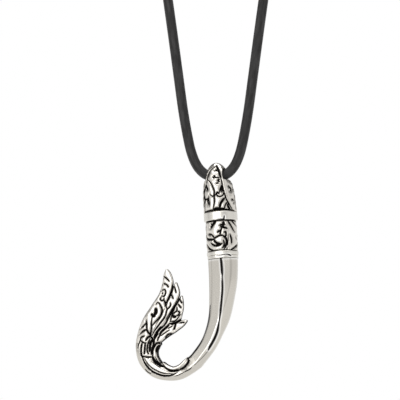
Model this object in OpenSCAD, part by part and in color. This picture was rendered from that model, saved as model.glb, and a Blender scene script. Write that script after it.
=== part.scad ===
// Fish-hook pendant (hei matau) of cast steel, hanging on a whole loop of round leather cord.
// Millimetres. The origin is under the middle of the clasp, where the loop hangs; everything
// else hangs below it. Front is -Y, and the loop lies in the XZ plane.

/* [Cord and clasp] */
// Thickness of the round leather cord
cord_d = 3; // [2.6:0.1:3.2]
// Length of the plain clasp behind the neck
clasp_len = 36; // [34:0.5:38]
// Outer diameter of the clasp
clasp_d = 5.4; // [4.4:0.2:7]
// Width of the rounded edge at each end of the clasp
clasp_edge = 0.5; // [0.2:0.1:0.7]

/* [How the pendant hangs] */
// Sideways tilt of the pendant, its foot to the right
pendant_tilt = 3.1; // [0:0.1:6]
// Turn about its own long axis, the front towards the left
pendant_turn = 16; // [0:1:20]
// Forward lean of the foot, which brings the weight under the cord
pendant_lean = 2.6; // [0:0.1:4]
// Distance from the lowest point of the cord to the pendant's long axis
pendant_offset = 0.8; // [0:0.1:1]

/* [Bail] */
// Height of the bail, from its foot to its tip
bail_h = 14.8; // [13.5:0.1:17]
// Diameter of the bail at its foot
bail_d = 10.1; // [9.4:0.1:12]
// Lean of the bail towards the left
bail_lean = 2.3; // [0:0.1:4]
// Metal over the cord, at the crown of the bail
arch_t = 2.6; // [2:0.1:3]
// Gap all round the cord inside the bail
cord_gap = 0.2; // [0.15:0.05:0.4]
// Radius of the rounded mouth of the cord hole
mouth_r = 4.5; // [3:0.25:5.5]
// How far below the cord's centre the mouth is rounded
saddle_drop = 1; // [0.6:0.1:1.4]

/* [Bands and barrel] */
// Height of the plain band under the bail
upper_band_h = 3; // [2:0.1:4]
// Height of the carved barrel
barrel_h = 9.2; // [7:0.1:12]
// Diameter of the carved barrel
barrel_d = 9.6; // [9:0.1:11]
// Height of the band under the barrel
lower_band_h = 2.1; // [1.6:0.1:3]
// Diameter of the band under the barrel
lower_band_d = 9.5; // [9.4:0.1:11]
// Bevel on the edges of both bands
band_edge = 0.25; // [0.1:0.05:0.4]

/* [Hook] */
// Length of the hook, from the lower band to its foot
hook_len = 35.7; // [32:0.1:40]
// Reach of the hook to the left of the long axis
hook_span = 28.7; // [25:0.1:31]
// Rise of the hook's arm over its whole reach
arm_rise = 0.8; // [0:0.1:2]
// Width of the shank at its top
shank_w = 8.9; // [8:0.1:9.2]
// Depth of the shank at its top, front to back
shank_d = 6.4; // [5:0.1:8]

/* [Plume] */
// Width that the separate feathers are measured against
feather_w = 4; // [3.6:0.1:4.4]
// Thickness that the separate feathers are measured against
plume_t = 3.2; // [2.6:0.1:3.8]

/* [Carving] */
// Width of the sunk lines between the raised lobes
line_w = 0.5; // [0.35:0.05:0.6]
// Depth of the sunk ground under the raised lobes
relief = 0.45; // [0.3:0.05:0.6]

/* [Hidden] */

steel = "silver";
leather = [0.2, 0.2, 0.2];

// How far cuts that join run into each other
overlap = 0.01;

// Right half of the cord's route, from its lowest point inside the bail up to the clasp: [x, z]
half_route = [
    [0, -199], [3.2, -198.1], [5.5, -195.8], [7.2, -192], [8.4, -187], [9.8, -179], [11.3, -168],
    [13.2, -154], [15.6, -137], [18.2, -119], [20.8, -100], [23, -80], [24.6, -60], [25.6, -42],
    [26, -26], [26, -14], [26, -5.3], [24.9, -1.3], [22, 1.6]
];
cord_low = half_route[0].y;

// Heights along the pendant, measured from the centre of the cord inside the bail
hole_r = cord_d / 2 + cord_gap;
seat_z = -(bail_h - arch_t - hole_r);
barrel_top = seat_z - upper_band_h;
barrel_foot = barrel_top - barrel_h;
hook_top = barrel_foot - lower_band_h;

// Puts a piece made on the pendant's own upright axis where it hangs on the cord
module hang() {
    translate([0, 0, cord_low])
        rotate([-pendant_lean, 0, 0])
            rotate([0, -pendant_tilt, 0])
                translate([pendant_offset, 0, 0])
                    rotate([0, 0, -pendant_turn])
                        children();
}

// A smooth curve through rows of any width, with n steps between each two rows
function between(a, b, c, d, t) =
    0.5 * (2 * b + (c - a) * t + (2 * a - 5 * b + 4 * c - d) * t * t + (3 * b - 3 * c + d - a) * t * t * t);
function smooth(rows, n) = [
    for (i = [0:len(rows) - 2], k = [0:n - 1])
        between(rows[max(i - 1, 0)], rows[i], rows[i + 1], rows[min(i + 2, len(rows) - 1)], k / n),
    rows[len(rows) - 1]
];

function unit(v) = v / norm(v);
function along(p, i) = unit(p[min(i + 1, len(p) - 1)] - p[max(i - 1, 0)]);

// A closed solid through rings that all have the same number of points
module skin(rings) {
    n = len(rings[0]);
    last = len(rings) - 1;
    points = [for (ring = rings) each ring];
    sides = [
        for (r = [0:last - 1], i = [0:n - 1])
            each let (a = r * n + i, b = r * n + (i + 1) % n)
                [[a, b, a + n], [b, b + n, a + n]]
    ];
    polyhedron(points, concat([[for (i = [n - 1:-1:0]) i]], sides, [[for (i = [0:n - 1]) last * n + i]]));
}

// The cord: its route mirrored to a whole loop and swept with an eight-sided section
cord_sides = 8;
cord_steps = 2;
cord_route = concat(
    [[-clasp_len / 2, clasp_d / 2]],
    [for (i = [len(half_route) - 1:-1:1]) [-half_route[i].x, half_route[i].y]],
    half_route,
    [[clasp_len / 2, clasp_d / 2]]
);

// The cord's direction at a point of its route: level where it enters the clasp
function cord_dir(i) = (i == 0) ? [-1, 0] : (i == len(cord_route) - 1) ? [-1, 0] : along(cord_route, i);
function cord_point(i, t) =
    let (a = cord_route[i], b = cord_route[i + 1], reach = norm(b - a) / 3)
    let (a2 = a + cord_dir(i) * reach, b2 = b - cord_dir(i + 1) * reach)
    a * pow(1 - t, 3) + 3 * a2 * t * pow(1 - t, 2) + 3 * b2 * t * t * (1 - t) + b * pow(t, 3);
cord_line = [
    for (i = [0:len(cord_route) - 2], k = [0:cord_steps - 1]) cord_point(i, k / cord_steps),
    cord_route[len(cord_route) - 1]
];
function cord_ring(i) =
    let (d = (i == 0 || i == len(cord_line) - 1) ? [-1, 0] : along(cord_line, i))
    [
        for (k = [0:cord_sides - 1])
            let (a = 360 * (k + 0.5) / cord_sides, s = cord_d / 2 * cos(a), y = cord_d / 2 * sin(a))
            [cord_line[i].x + d.y * s, y, cord_line[i].y - d.x * s]
    ];

module cord() {
    color(leather)
        skin([for (i = [0:len(cord_line) - 1]) cord_ring(i)]);
}

// The clasp: one plain barrel with rounded edges, level at the top of the loop
module clasp() {
    e = clasp_edge;
    r = clasp_d / 2;
    color(steel)
        translate([-clasp_len / 2, 0, r])
            rotate([0, 90, 0])
                rotate_extrude($fn = 48)
                    polygon([
                        [0, 0], [r - e, 0], [r - e * 0.3, e * 0.3], [r, e],
                        [r, clasp_len - e], [r - e * 0.3, clasp_len - e * 0.3], [r - e, clasp_len], [0, clasp_len]
                    ]);
}

// Outline of a carved line: a ribbon along its points, drawn in to a fine point at each end
function ribbon(points, w) =
    let (p = smooth(points, 2), last = len(p) - 1)
    let (half = [for (i = [0:last]) w / 2 * ((i == 0 || i == last) ? 0.3 : 1)])
    let (side = [for (i = [0:last]) let (d = along(p, i)) [-d.y, d.x] * half[i]])
    concat([for (i = [0:last]) p[i] + side[i]], [for (i = [last:-1:0]) p[i] - side[i]]);

// Cuts a chart of lines, given as [x, z] points, from the front towards the long axis
module carve_front(chart, scale_x, scale_z, reach) {
    for (points = chart)
        rotate([90, 0, 0])
            linear_extrude(reach)
                polygon(ribbon([for (p = points) [p.x * scale_x, p.y * scale_z]], line_w));
}

// The bail's form: a bullet, given as heights in shares of its own from the foot to near the tip.
// It narrows upward by this power, and its skirt reaches below the foot so that it can lean.
bullet_power = 2.5;
bullet_rows = [0, 0.2, 0.37, 0.51, 0.62, 0.72, 0.8, 0.865, 0.92, 0.96, 0.985];
function bullet_r(share, inset) = (bail_d / 2 - inset) * sqrt(1 - pow(share, bullet_power));

module bullet(inset) {
    tip = bail_h - inset;
    skirt = bail_d / 2 * sin(bail_lean) + relief;
    rotate_extrude($fn = 64)
        polygon(concat(
            [[0, -skirt], [bullet_r(0, inset), -skirt]],
            [for (share = bullet_rows) [bullet_r(share, inset), min(share * bail_h, tip)]],
            [[0, tip]]
        ));
}

// The front panel's sunk lines as shares of the bail's half width and height:
// two borders inside the raised rims, the foot line, the long S and the leaves beside it
bail_chart = [
    [[-0.25, 0.83], [-0.55, 0.54], [-0.62, 0.3], [-0.66, 0.03]],
    [[0.14, 0.9], [0.27, 0.75], [0.37, 0.58], [0.5, 0.3], [0.68, 0.13], [0.88, 0.02]],
    [[-0.66, 0.03], [-0.3, 0.02], [0.1, 0.02], [0.5, 0.02], [0.86, 0.02]],
    [[-0.47, 0.66], [-0.24, 0.57], [-0.1, 0.46], [-0.08, 0.32], [-0.1, 0.15], [-0.24, 0.05]],
    [[-0.06, 0.73], [0.14, 0.68], [0.1, 0.6], [0.26, 0.56]],
    [[-0.08, 0.41], [0.1, 0.38], [0.24, 0.4], [0.4, 0.37]],
    [[0.55, 0.26], [0.34, 0.18], [0.14, 0.05]],
    [[0.7, 0.15], [0.5, 0.04]],
    [[-0.42, 0.28], [-0.36, 0.2], [-0.42, 0.12]]
];
// The side panels' sunk lines, front to back, in the same shares
bail_side_chart = [
    [[-0.62, 0.62], [-0.42, 0.42], [-0.34, 0.25], [-0.5, 0.06]],
    [[0.62, 0.62], [0.42, 0.42], [0.34, 0.25], [0.5, 0.06]],
    [[-0.2, 0.6], [0.1, 0.5], [-0.12, 0.36], [0.14, 0.24], [-0.1, 0.1]]
];

module bail_lines() {
    reach = bail_d;
    for (turn = [0, 180])
        rotate([0, 0, turn])
            carve_front(bail_chart, bail_d / 2, bail_h, reach);
    for (turn = [90, 270])
        rotate([0, 0, turn])
            carve_front(bail_side_chart, bail_d / 2, bail_h, reach);
}

// The way through the bail: a true bore round the cord, with a rounded mouth above the saddle.
// The mouth's arc turns this far from the middle of the bore to each end.
mouth_turn = 84;
mouth_steps = 8;
module cord_passage() {
    mouth_end = mouth_r * sin(mouth_turn);
    flare = [
        for (i = [-mouth_steps:mouth_steps])
            let (a = mouth_turn * i / mouth_steps)
            [hole_r + mouth_r * (1 - cos(a)), mouth_r * sin(a)]
    ];
    rotate([0, 90, 0])
        cylinder(h = 3 * bail_d, r = hole_r, center = true, $fn = 48);
    intersection() {
        rotate([0, 90, 0])
            rotate_extrude($fn = 48)
                polygon(concat([[0, flare[0].y]], flare, [[0, -flare[0].y]]));
        translate([-bail_d, -bail_d, -saddle_drop])
            cube([2 * bail_d, 2 * bail_d, saddle_drop + hole_r + mouth_r]);
    }
    for (side = [-1, 1])
        translate([side * (mouth_end + bail_d / 2 - overlap), 0, bail_d - saddle_drop])
            cube([bail_d, 2 * bail_d, 2 * bail_d], center = true);
}

// The bail: a leaning bullet whose front and back leaves meet over the cord
module bail() {
    color(steel)
        difference() {
            hang()
                translate([0, 0, seat_z])
                    difference() {
                        rotate([0, -bail_lean, 0])
                            union() {
                                bullet(relief);
                                difference() {
                                    bullet(0);
                                    bail_lines();
                                }
                            }
                        translate([-bail_d, -bail_d, -2 * bail_d])
                            cube([2 * bail_d, 2 * bail_d, 2 * bail_d]);
                    }
            translate([0, 0, cord_low])
                cord_passage();
        }
}

// A plain ring band with bevelled edges, its foot at z = 0
module band(d, h, e) {
    rotate_extrude($fn = 72)
        polygon([[0, 0], [d / 2 - e, 0], [d / 2, e], [d / 2, h - e], [d / 2 - e, h], [0, h]]);
}

module upper_band() {
    color(steel)
        hang()
            translate([0, 0, barrel_top])
                band(bail_d, upper_band_h, band_edge);
}

// The barrel's sunk lines as seen from the front, as shares of its half width and height
barrel_chart = [
    [[-0.36, 0.97], [-0.58, 0.86], [-0.8, 0.74]],
    [[-0.96, 0.55], [-0.8, 0.38], [-0.52, 0.38], [-0.42, 0.41]],
    [[-0.82, 0.54], [-0.66, 0.53], [-0.54, 0.44], [-0.44, 0.4]],
    [[-0.44, 0.4], [-0.2, 0.46], [0.02, 0.52], [0.2, 0.5], [0.34, 0.42], [0.4, 0.3], [0.36, 0.12], [0.22, 0.02]],
    [[-0.72, 0.26], [-0.46, 0.2], [-0.2, 0.18], [0.06, 0.25]],
    [[0.18, 0.34], [0.25, 0.25], [0.22, 0.14]],
    [[0.1, 0.95], [0.2, 0.85], [0.32, 0.82]],
    [[-0.18, 0.82], [0.08, 0.8], [0.42, 0.74]],
    [[0.04, 0.76], [-0.1, 0.62], [-0.06, 0.5]],
    [[0.52, 0.96], [0.74, 0.82], [0.92, 0.66]],
    [[0.64, 0.54], [0.78, 0.4], [0.78, 0.27]],
    [[-0.94, 0.17], [-0.74, 0.08], [-0.5, 0.01]],
    [[0.94, 0.22], [0.8, 0.12], [0.6, 0.02]]
];

// The barrel: a sunk core, and a raised skin through which the chart is cut, front and back
module barrel() {
    edge = line_w / 2;
    color(steel)
        hang()
            translate([0, 0, barrel_foot]) {
                cylinder(h = barrel_h, r = barrel_d / 2 - relief, $fn = 72);
                rotate([0, 0, pendant_turn])
                    difference() {
                        translate([0, 0, edge])
                            cylinder(h = barrel_h - 2 * edge, r = barrel_d / 2, $fn = 72);
                        for (turn = [0, 180])
                            rotate([0, 0, turn])
                                carve_front(barrel_chart, barrel_d / 2, barrel_h, barrel_d);
                    }
            }
}

// The lower band: a bevelled ring on a slightly narrower step
module lower_band() {
    step_h = lower_band_h * 0.4;
    color(steel)
        hang()
            translate([0, 0, hook_top]) {
                cylinder(h = step_h, d = lower_band_d - band_edge, $fn = 72);
                translate([0, 0, step_h])
                    band(lower_band_d, lower_band_h - step_h, band_edge);
            }
}

// Sections along the hook, from the lower band round the foot and up to the tip of the long
// feather: [left, down, lean, width, depth, ridge]. Left and down are percent of the hook's span
// and length, lean is the section's turn in degrees, width and depth are percent of the shank's,
// and ridge is the ridge line's place across the section, in percent from its inner edge.
hook_rows = [
    [0, 0, 0, 100, 100, 50],
    [1, 17.5, 2, 95, 97, 54],
    [3.7, 33.5, 7, 84, 90, 58],
    [7.5, 48.5, 14, 72, 82, 61],
    [13.7, 60.6, 25, 60, 75, 63],
    [21, 71.3, 35, 55.5, 70, 64],
    [32, 81.8, 46, 53.5, 66, 65],
    [37.6, 86, 52, 54, 65, 66],
    [53, 93.6, 75, 45, 60, 66],
    [66.7, 93.6, 102, 49, 56, 64],
    [78, 89.6, 130, 60.5, 52, 62],
    [86.3, 81.2, 153, 70, 48, 60],
    [87.5, 71.4, 177, 79, 44, 58],
    [86, 62, 188, 76, 40, 56],
    [80.8, 51, 208, 70, 36, 54],
    [72.5, 39.5, 210, 58, 32, 52],
    [65.2, 28.5, 205, 44, 28, 50],
    [61, 18, 190, 40, 25, 50],
    [61, 10.5, 180, 28, 22, 50],
    [61.6, 6.2, 172, 8, 16, 50]
];
hook_steps = 2;
seam_row = 7;
hook_line = smooth(hook_rows, hook_steps);

// A place on the pendant from percent of the hook's span to the left and of its length down
function hook_place(left, down) =
    [-hook_span * left / 100, hook_top - hook_len * down / 100 + arm_rise * left / 100];

// Half outline of the hook's section: [share of the width, share of the depth]. The front has a
// ridge with a flat and a bevel on each side of it, and the back is the same.
function half_section(ridge) = [[-0.5, 0.14], [-0.34, 0.37], [ridge - 0.5, 0.5], [0.33, 0.37], [0.5, 0.14]];

// The sunk ground is the same form, narrower and thinner by the depth of the relief
function sunk_w(w, sunk) = sunk ? max(w / 2, w - relief) : w;
function sunk_t(t, sunk) = sunk ? max(t / 2, t - 2 * relief) : t;
function drawn_in(rows, sunk) =
    let (last = len(rows) - 1)
    !sunk ? rows : [
        rows[0] * 0.8 + rows[1] * 0.2,
        for (i = [1:last - 1]) rows[i],
        rows[last] * 0.8 + rows[last - 1] * 0.2
    ];

function hook_ring(row, sunk) =
    let (c = hook_place(row[0], row[1]), a = row[2], w = sunk_w(shank_w * row[3] / 100, sunk))
    let (d = sunk_t(shank_d * row[4] / 100, sunk), half = half_section(row[5] / 100))
    [
        for (p = half) [c.x + cos(a) * w * p.x, -d * p.y, c.y - sin(a) * w * p.x],
        for (i = [4:-1:0]) let (p = half[i]) [c.x + cos(a) * w * p.x, d * p.y, c.y - sin(a) * w * p.x]
    ];

module hook_part(first, last, sunk) {
    rows = drawn_in([for (i = [first * hook_steps:last * hook_steps]) hook_line[i]], sunk);
    skin([for (row = rows) hook_ring(row, sunk)]);
}

module shank() {
    color(steel)
        hang()
            hook_part(0, seam_row, false);
}

// The leaves that stand beside or on the hook: [left, down, width, thickness], each in percent of
// the hook's span and length, the feather width and the plume thickness, from tip to root
second_feather = [
    [52.1, 17.6, 12, 40], [52.4, 22.5, 46, 48], [53.4, 28, 68, 56], [58.2, 35, 68, 64],
    [63, 41.5, 62, 74], [69, 49, 54, 84], [76, 57, 46, 90], [82, 64, 36, 94]
];
third_feather = [
    [46.6, 29, 12, 30], [47.8, 33, 40, 36], [49.8, 38, 70, 42], [52.5, 43, 84, 48],
    [56.5, 47.5, 76, 54], [66, 53, 60, 60], [74, 60, 46, 66]
];
fin = [
    [42.3, 50, 14, 40], [46, 51.6, 42, 48], [50.5, 53.4, 58, 56], [58, 56.3, 72, 62],
    [66, 60, 70, 68], [74, 65, 62, 74], [80, 70, 50, 80]
];
throat_leaf = [
    [71.2, 68.4, 12, 50], [74.5, 69.6, 36, 70], [78, 73.5, 44, 88], [78.5, 78.5, 44, 100],
    [76, 82.5, 38, 106], [72, 86, 20, 110]
];
crescent = [
    [42.6, 81, 12, 90], [46.5, 84.7, 30, 108], [52.5, 88.8, 38, 112], [60, 90.3, 38, 112],
    [66.3, 88.2, 36, 108], [70.4, 84.2, 14, 96]
];
foot_leaf = [
    [57.5, 94, 12, 110], [66, 93.6, 38, 124], [75, 90.8, 56, 126], [83.5, 85.6, 60, 120],
    [89.5, 79, 40, 108], [91.8, 75.5, 12, 96]
];
web = [
    [49.5, 33, 40, 22], [52, 40, 90, 26], [57, 47, 130, 30], [64, 53, 150, 36], [72, 59, 130, 44], [80, 66, 100, 50]
];
leaves = [second_feather, third_feather, fin, web, throat_leaf, crescent, foot_leaf];

// One leaf: a lens section swept along its rows, square to its own line
leaf_section = [[-0.5, 0.2], [-0.3, 0.42], [0, 0.5], [0.3, 0.42], [0.5, 0.2]];
function leaf_ring(line, i, sunk) =
    let (row = line[i], c = hook_place(row[0], row[1]), w = sunk_w(feather_w * row[2] / 100, sunk))
    let (t = sunk_t(plume_t * row[3] / 100, sunk))
    let (before = line[max(i - 1, 0)], after = line[min(i + 1, len(line) - 1)])
    let (d = unit(hook_place(after[0], after[1]) - hook_place(before[0], before[1])))
    [
        for (p = leaf_section) [c.x - d.y * w * p.x, -t * p.y, c.y + d.x * w * p.x],
        for (k = [4:-1:0]) let (p = leaf_section[k]) [c.x - d.y * w * p.x, t * p.y, c.y + d.x * w * p.x]
    ];

module leaf(rows, sunk) {
    line = drawn_in(rows, sunk);
    skin([for (i = [0:len(line) - 1]) leaf_ring(line, i, sunk)]);
}

module plume_body(sunk) {
    hook_part(seam_row, len(hook_rows) - 1, sunk);
    for (rows = leaves)
        leaf(rows, sunk);
}

// The plume's sunk lines, in percent of the hook's span to the left and of its length down
plume_chart = [
    // Edges of the long feather and the second feather
    [[54, 16], [56, 22], [58.5, 28], [64, 34], [66.5, 39]],
    [[47, 27.5], [49.5, 31.5], [52.5, 35], [56.5, 40], [60, 44], [63.5, 48.5], [68, 53.5], [73.5, 58], [78, 62]],
    // Barbs
    [[66, 12.5], [61, 14.5], [59, 17]],
    [[66.5, 18], [61.5, 20], [59.5, 22]],
    [[55, 22.5], [52.5, 26.5]],
    [[58, 28], [55.5, 32]],
    [[49, 32.5], [46, 35.5]],
    // Scroll on the edge of the long feather, and the line that leaves it
    [[68, 23], [64, 25], [65.5, 28], [65, 30], [66.5, 32], [70, 31]],
    [[66.5, 32.5], [64.5, 38]],
    // Great spiral
    [[76, 34.5], [72.5, 34], [70, 36], [69, 40], [69.5, 43], [72.5, 47], [77.5, 51], [80.5, 53]],
    [[77, 37.5], [74, 39.5], [74.5, 42.5], [77.5, 46], [80, 47]],
    // Leaf and chevrons at the back
    [[86.5, 47], [87, 52], [86.5, 55.5], [84, 59.5]],
    [[80, 46], [81, 50], [81.5, 54.5], [82, 58]],
    [[93, 54], [87, 51]],
    [[95, 58.5], [88, 56.5], [83.5, 60]],
    // Long curl that ends in a small hook
    [[60, 35], [58.5, 36.5], [62.5, 39.5], [64.5, 44], [67, 48.5], [72.5, 52.5], [77.5, 56.5], [79.5, 59]],
    // Fin
    [[60, 48.5], [61, 52], [65, 55], [70, 58], [73, 61.5], [75, 65], [76, 68.5]],
    [[61, 52.5], [56, 52], [49, 49]],
    [[55.5, 53.5], [57.5, 57.5]],
    [[61, 61], [64.5, 61], [67, 63], [66, 65]],
    // Stalk of the foot leaf
    [[70.5, 68], [73.5, 67], [80, 71.5], [81.5, 75], [82.5, 79]],
    [[92.5, 78.5], [82.5, 79.5]],
    [[82.5, 80], [78.5, 84], [72.5, 87]],
    [[92.5, 66], [93.5, 73], [94, 77], [93, 81], [89, 86.5], [84.5, 90.5], [79, 93]],
    [[79, 93], [73.5, 95.5], [67.5, 96], [61.5, 95.5], [57, 93]],
    [[41.5, 81], [43.5, 84.5], [46.5, 88], [51.5, 90.5], [57.5, 92], [62.5, 92], [67, 89.5], [71, 84.5]]
];

// Each line is a chain of round cuts from front to back, drawn in at its two ends
module plume_lines() {
    deep = shank_d;
    for (points = plume_chart) {
        last = len(points) - 1;
        for (i = [0:last - 1])
            hull()
                for (k = [i, i + 1])
                    let (at = hook_place(points[k].x, points[k].y), share = (k == 0 || k == last) ? 0.5 : 1)
                        translate([at.x, deep / 2, at.y])
                            rotate([90, 0, 0])
                                cylinder(h = deep, d = line_w * share, $fn = 6);
    }
}

// The plume: sunk ground inside the same forms at full thickness, with the lines cut through
module plume() {
    color(steel)
        hang()
            union() {
                plume_body(true);
                difference() {
                    plume_body(false);
                    plume_lines();
                }
            }
}

cord();
clasp();
bail();
upper_band();
barrel();
lower_band();
shank();
plume();
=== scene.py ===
import math

import bmesh
import bpy
import numpy as np
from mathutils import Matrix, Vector


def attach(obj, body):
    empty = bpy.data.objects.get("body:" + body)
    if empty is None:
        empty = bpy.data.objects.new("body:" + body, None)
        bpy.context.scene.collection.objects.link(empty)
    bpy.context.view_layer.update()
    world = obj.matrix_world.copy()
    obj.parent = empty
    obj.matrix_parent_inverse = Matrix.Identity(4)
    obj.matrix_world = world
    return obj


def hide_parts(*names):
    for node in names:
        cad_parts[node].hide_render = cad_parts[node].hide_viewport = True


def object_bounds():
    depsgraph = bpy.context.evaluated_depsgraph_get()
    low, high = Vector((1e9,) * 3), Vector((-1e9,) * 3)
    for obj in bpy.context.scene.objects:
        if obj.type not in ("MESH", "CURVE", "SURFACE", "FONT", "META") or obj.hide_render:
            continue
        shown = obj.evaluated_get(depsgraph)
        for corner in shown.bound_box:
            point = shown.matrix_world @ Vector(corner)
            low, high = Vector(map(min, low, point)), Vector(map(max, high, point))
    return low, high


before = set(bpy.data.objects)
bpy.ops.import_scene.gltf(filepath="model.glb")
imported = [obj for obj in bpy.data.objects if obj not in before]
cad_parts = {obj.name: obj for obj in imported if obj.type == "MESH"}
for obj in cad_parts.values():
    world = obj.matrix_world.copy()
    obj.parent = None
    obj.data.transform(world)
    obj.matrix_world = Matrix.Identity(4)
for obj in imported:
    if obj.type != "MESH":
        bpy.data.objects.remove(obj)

cad_low, cad_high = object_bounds()

# Camera
# A product shot from straight in front and five degrees below, through a long lens. Its square
# frame is 120 mm wide at the pendant, and its middle lies left of the cord's lowest point.
MM = 0.001
lens, sensor = 200, 36
frame_width = 120 * MM
look_up = math.radians(5)
aim = Vector((-4.74, 0, -205.92)) * MM
towards_camera = Vector((0, -math.cos(look_up), -math.sin(look_up)))


def new_object(name, data):
    """An object for its mesh, lamp or camera, put into the scene."""
    made = bpy.data.objects.new(name, data)
    bpy.context.scene.collection.objects.link(made)
    return made


camera_data = bpy.data.cameras.new("camera")
camera_data.lens = lens
camera_data.sensor_width = sensor
camera = new_object("camera", camera_data)
camera.location = aim + towards_camera * (frame_width * lens / sensor)
camera.rotation_mode = "QUATERNION"
camera.rotation_quaternion = (-towards_camera).to_track_quat("-Z", "Y")
bpy.context.scene.camera = camera


# Leather cord
# Round leather cord, cut from hide in one long strip, drawn through a round die and dyed black.
# It runs as one whole loop from the clasp, down through the bail and back up to the clasp.
cord_diameter = 3.0 * MM
clasp_length = 36 * MM
clasp_diameter = 5.4 * MM
half_route = [  # x and z in mm, the same points as in the part's source
    (0, -199), (3.2, -198.1), (5.5, -195.8), (7.2, -192), (8.4, -187), (9.8, -179), (11.3, -168),
    (13.2, -154), (15.6, -137), (18.2, -119), (20.8, -100), (23, -80), (24.6, -60), (25.6, -42),
    (26, -26), (26, -14), (26, -5.3), (24.9, -1.3), (22, 1.6),
]
cord_lowest = Vector((0, 0, half_route[0][1])) * MM


def linear(hex_colour):
    """An sRGB hex colour as the linear colour that a shader takes."""
    parts = [int(hex_colour[i:i + 2], 16) / 255 for i in (1, 3, 5)]
    return [c / 12.92 if c <= 0.04045 else ((c + 0.055) / 1.055) ** 2.4 for c in parts] + [1.0]


def add(tree, kind, sockets=(), **settings):
    """Adds a node, sets its settings, and links or sets each of its named or numbered sockets."""
    made = tree.nodes.new(kind)
    for name, value in settings.items():
        setattr(made, name, value)
    for name, value in dict(sockets).items():
        if isinstance(value, bpy.types.NodeSocket):
            tree.links.new(value, made.inputs[name])
        elif isinstance(value, str):
            made.inputs[name].default_value = linear(value)
        else:
            made.inputs[name].default_value = value
    return made


def noise(tree, place, size, detail, roughness=0.5):
    """Cloudy patches of about a size, in the same unit as the place."""
    return add(tree, "ShaderNodeTexNoise", {
        "Vector": place, "Scale": 1 / size, "Detail": detail, "Roughness": roughness}).outputs["Fac"]


def mapped(tree, value, low, high, start=0.0, end=1.0, **settings):
    """A value moved from the range of low to high onto that of start to end."""
    return add(tree, "ShaderNodeMapRange", {
        "Value": value, "From Min": low, "From Max": high, "To Min": start, "To Max": end,
    }, **settings).outputs["Result"]


def mixed(tree, share, first, second):
    """Two colours mixed: the first where the share is 0, and the second where it is 1."""
    return add(tree, "ShaderNodeMix", {0: share, 6: first, 7: second}, data_type="RGBA").outputs[2]


def reckoned(tree, operation, *values):
    """What one step of arithmetic makes of its values."""
    return add(tree, "ShaderNodeMath", dict(enumerate(values)), operation=operation).outputs[0]


def bumped(tree, height, strength, depth_mm, **under):
    """The way the surface faces with a fine relief on it, or on the relief under it."""
    return add(tree, "ShaderNodeBump", {
        "Height": height, "Strength": strength, "Distance": depth_mm * MM, **under}).outputs["Normal"]


def new_material(name, **shader_values):
    """A material with its shader's even values set; returns it with its tree and its shader."""
    made = bpy.data.materials.new(name)
    made.use_nodes = True
    shader = made.node_tree.nodes["Principled BSDF"]
    for socket, value in shader_values.items():
        value = linear(value) if isinstance(value, str) else value
        shader.inputs[socket.replace("_", " ")].default_value = value
    return made, made.node_tree, shader


def skin(name, rings):
    """A closed mesh object through rings that all have the same number of points."""
    rings = np.asarray(rings, float)
    count, sides = rings.shape[:2]
    around = np.arange(sides)
    after = (around + 1) % sides
    starts = (np.arange(count - 1) * sides)[:, None]
    quads = np.stack([starts + around, starts + after, starts + sides + after, starts + sides + around], -1)
    faces = quads.reshape(-1, 4).tolist()
    faces += [around[::-1].tolist(), ((count - 1) * sides + around).tolist()]
    mesh = bpy.data.meshes.new(name)
    mesh.from_pydata(rings.reshape(-1, 3).tolist(), [], faces)
    return new_object(name, mesh)


def smooth_shading(piece, angle):
    """Rounds the shading, and keeps edges sharper than the angle, in degrees."""
    piece.data.shade_smooth()
    piece.data.set_sharp_from_angle(angle=math.radians(angle))


route = [(-clasp_length / MM / 2, clasp_diameter / MM / 2)]
route += [(-x, z) for x, z in half_route[:0:-1]] + half_route
route += [(-route[0][0], route[0][1])]
route = np.array(route) * MM


def cord_line(points, steps):
    """The cord's curve through its points, level where it enters the clasp at both ends."""
    ahead = np.roll(points, -1, 0) - np.roll(points, 1, 0)
    ahead[0] = ahead[-1] = (-1, 0)
    ahead /= np.linalg.norm(ahead, axis=1)[:, None]
    line = []
    for a, b, leave, arrive in zip(points[:-1], points[1:], ahead[:-1], ahead[1:]):
        reach = np.linalg.norm(b - a) / 3
        for t in np.arange(steps) / steps:
            line.append(a * (1 - t) ** 3 + 3 * (a + leave * reach) * t * (1 - t) ** 2
                        + 3 * (b - arrive * reach) * t * t * (1 - t) + b * t ** 3)
    return np.array(line + [points[-1]])


cord_middle = cord_line(route, 24)
along = np.gradient(cord_middle, axis=0)
along[0] = along[-1] = (-1, 0)
along /= np.linalg.norm(along, axis=1)[:, None]
run = np.concatenate([[0], np.cumsum(np.linalg.norm(np.diff(cord_middle, axis=0), axis=1))])
cord_sides = 32
turn = 2 * math.pi * (np.arange(cord_sides) + 0.5) / cord_sides
side_way, back_way = np.cos(turn) * cord_diameter / 2, np.sin(turn) * cord_diameter / 2
cord = skin("leather_cord", np.stack([
    cord_middle[:, :1] + along[:, 1:] * side_way,
    np.broadcast_to(back_way, (len(run), cord_sides)),
    cord_middle[:, 1:] - along[:, :1] * side_way,
], -1))
smooth_shading(cord, 60)

# The leather's own map: round the cord and along it, both in millimetres
cord_map = cord.data.uv_layers.new(name="round_and_along")
for face in cord.data.polygons:
    rings = [v // cord_sides for v in face.vertices]
    sides = [v % cord_sides for v in face.vertices]
    wraps = max(sides) - min(sides) > 1 and len(sides) == 4
    for loop, ring, side in zip(face.loop_indices, rings, sides):
        round_share = (side + (cord_sides if wraps and side == 0 else 0)) / cord_sides
        cord_map.data[loop].uv = (round_share * math.pi * cord_diameter / MM, run[ring] / MM)

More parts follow.
